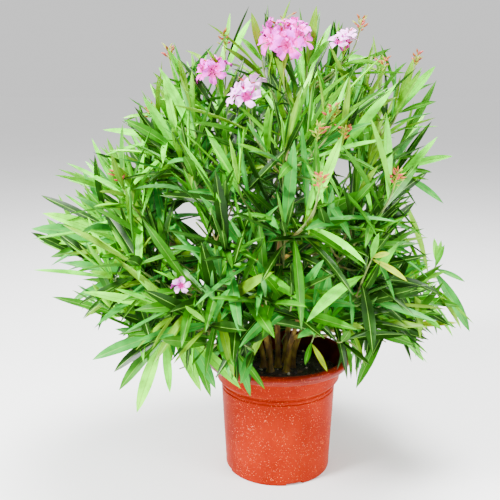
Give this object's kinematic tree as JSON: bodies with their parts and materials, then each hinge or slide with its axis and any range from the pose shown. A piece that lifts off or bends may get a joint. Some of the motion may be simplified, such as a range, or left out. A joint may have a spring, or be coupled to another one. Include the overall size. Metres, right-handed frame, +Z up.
{
  "type": "potted flowering shrub",
  "caption": "Bushy oleander with lance-shaped leaves in whorls, pink blossom at the shoot tips and several stems, in a round terracotta-coloured plastic pot",
  "frame": {"origin": "centre of the pot's flat underside, on the ground", "axes": "+Z up, +Y away from the viewer of the picture, +X to the right in the picture"},
  "size_m": [0.7592, 0.6348, 0.805],
  "materials": {
    "terracotta_plastic": "satin",
    "potting_soil": "matte",
    "bark": "matte",
    "leaves_and_blossom": "satin"
  },
  "bodies": {
    "root": {"pot": "terracotta_plastic", "soil": "potting_soil", "stem_right": "bark", "stem_back_right": "bark", "stem_back_left": "bark", "stem_left": "bark", "stem_front_left": "bark", "stem_front_right": "bark", "stem_middle": "bark", "bough_crown_middle": "bark", "bough_top_right": "bark", "bough_top_back": "bark", "bough_top_left": "bark", "bough_top_front": "bark", "bough_upper_front": "bark", "bough_upper_right": "bark", "bough_upper_back_right": "bark", "bough_upper_back_left": "bark", "bough_upper_left": "bark", "bough_upper_front_left": "bark", "bough_upper_front_right": "bark", "bough_side_right": "bark", "bough_side_back_right": "bark", "bough_side_back_left": "bark", "bough_side_left": "bark", "bough_side_front_left": "bark", "bough_side_front_right": "bark", "bough_low_right": "bark", "bough_low_back_right": "bark", "bough_low_back_left": "bark", "bough_low_left": "bark", "bough_low_front_left": "bark", "bough_low_front_right": "bark", "leaves_crown_middle": "leaves_and_blossom", "leaves_top_right": "leaves_and_blossom", "leaves_top_back": "leaves_and_blossom", "leaves_top_left": "leaves_and_blossom", "leaves_top_front": "leaves_and_blossom", "leaves_upper_front": "leaves_and_blossom", "leaves_upper_right": "leaves_and_blossom", "leaves_upper_back_right": "leaves_and_blossom", "leaves_upper_back_left": "leaves_and_blossom", "leaves_upper_left": "leaves_and_blossom", "leaves_upper_front_left": "leaves_and_blossom", "leaves_upper_front_right": "leaves_and_blossom", "leaves_side_right": "leaves_and_blossom", "leaves_side_back_right": "leaves_and_blossom", "leaves_side_back_left": "leaves_and_blossom", "leaves_side_left": "leaves_and_blossom", "leaves_side_front_left": "leaves_and_blossom", "leaves_side_front_right": "leaves_and_blossom", "leaves_low_right": "leaves_and_blossom", "leaves_low_back_right": "leaves_and_blossom", "leaves_low_back_left": "leaves_and_blossom", "leaves_low_left": "leaves_and_blossom", "leaves_low_front_left": "leaves_and_blossom", "leaves_low_front_right": "leaves_and_blossom"}
  },
  "joints": []
}
